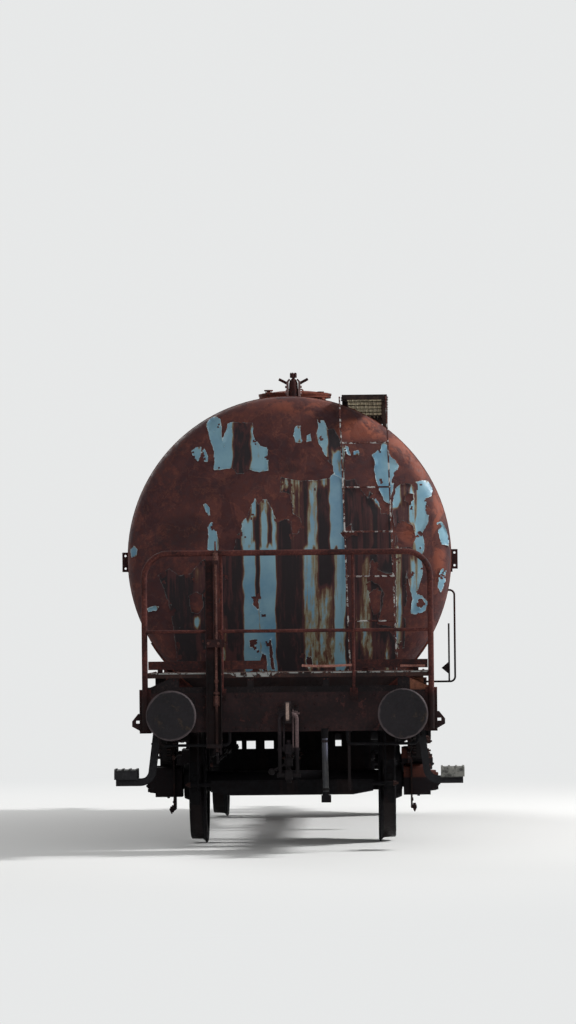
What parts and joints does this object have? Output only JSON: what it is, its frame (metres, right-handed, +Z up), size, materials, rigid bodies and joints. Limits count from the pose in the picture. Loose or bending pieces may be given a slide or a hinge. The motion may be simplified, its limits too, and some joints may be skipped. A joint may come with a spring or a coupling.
{
  "type": "two-axle railway tank wagon with end platform",
  "caption": "Old two-axle rail tank wagon: rusted round tank with manhole and walkway, end platform with tube railing, ladder and hand brake, buffers, hooks, leaf springs.",
  "frame": {"origin": "on the floor under the wheel flanges, midway between the buffer faces and the sides", "axes": "+Z up, +Y along the wagon away from the platform end, +X to the right seen from the platform end"},
  "size_m": [2.688, 9.8, 3.868],
  "materials": {
    "tank_paint": "peeling pale blue-grey paint over red-brown primer and rust",
    "walkway_rust": "rusted, traces of pale paint",
    "railing_rust": "red-brown rust with dark stains",
    "underframe": "dark grime over rust",
    "worn_steel": "worn, greasy and rusted",
    "cast_iron": "rough, rusted",
    "wheel_steel": "dark rolled steel with brake dust",
    "hose_rubber": "matt, dusty"
  },
  "bodies": {
    "wagon": {"tank_barrel": "tank_paint", "front_tank_end": "tank_paint", "rear_tank_end": "tank_paint", "tank_saddles": "tank_paint", "tank_lugs": "tank_paint", "manhole_neck": "tank_paint", "manhole_bolts": "tank_paint", "valve_post": "tank_paint", "walkway_frame": "walkway_rust", "walkway_grating": "walkway_rust", "end_ladder": "walkway_rust", "railing_posts": "railing_rust", "end_railing": "railing_rust", "platform_deck": "railing_rust", "platform_supports": "railing_rust", "toe_boards": "railing_rust", "handbrake_column": "railing_rust", "handbrake_spindle": "railing_rust", "handbrake_linkage": "worn_steel", "front_headstock": "underframe", "rear_headstock": "underframe", "sole_bars": "underframe", "cross_members": "underframe", "buffer_housings": "underframe", "buffer_heads": "worn_steel", "draw_hooks": "worn_steel", "screw_couplings": "worn_steel", "axle_boxes": "cast_iron", "axle_guards": "underframe", "leaf_springs": "worn_steel", "spring_shackles": "worn_steel", "brake_blocks": "cast_iron", "brake_beams": "worn_steel", "brake_rods": "worn_steel", "brake_cylinder": "underframe", "air_reservoir": "underframe", "brake_pipe": "underframe", "brake_hose": "hose_rubber", "hose_coupling": "cast_iron", "outlet_pipe": "underframe", "outlet_valves": "underframe", "side_steps": "railing_rust", "shunter_handles": "underframe", "grab_rail": "walkway_rust"},
    "front_wheelset": {"front_axle": "wheel_steel", "front_left_wheel": "wheel_steel", "front_right_wheel": "wheel_steel"},
    "rear_wheelset": {"rear_axle": "wheel_steel", "rear_left_wheel": "wheel_steel", "rear_right_wheel": "wheel_steel"},
    "manhole_cover": {"manhole_lid": "tank_paint"}
  },
  "joints": [
    {"name": "front_wheelset_roll", "type": "hinge", "parent": "wagon", "child": "front_wheelset", "pos_m": [0, -2.5, 0.488], "axis": [1, 0, 0], "continuous": true},
    {"name": "rear_wheelset_roll", "type": "hinge", "parent": "wagon", "child": "rear_wheelset", "pos_m": [0, 3, 0.488], "axis": [1, 0, 0], "continuous": true},
    {"name": "manhole_lid_hinge", "type": "hinge", "parent": "wagon", "child": "manhole_cover", "pos_m": [0, 0.648, 3.695], "axis": [-1, 0, 0], "range_deg": [0, 110]}
  ]
}
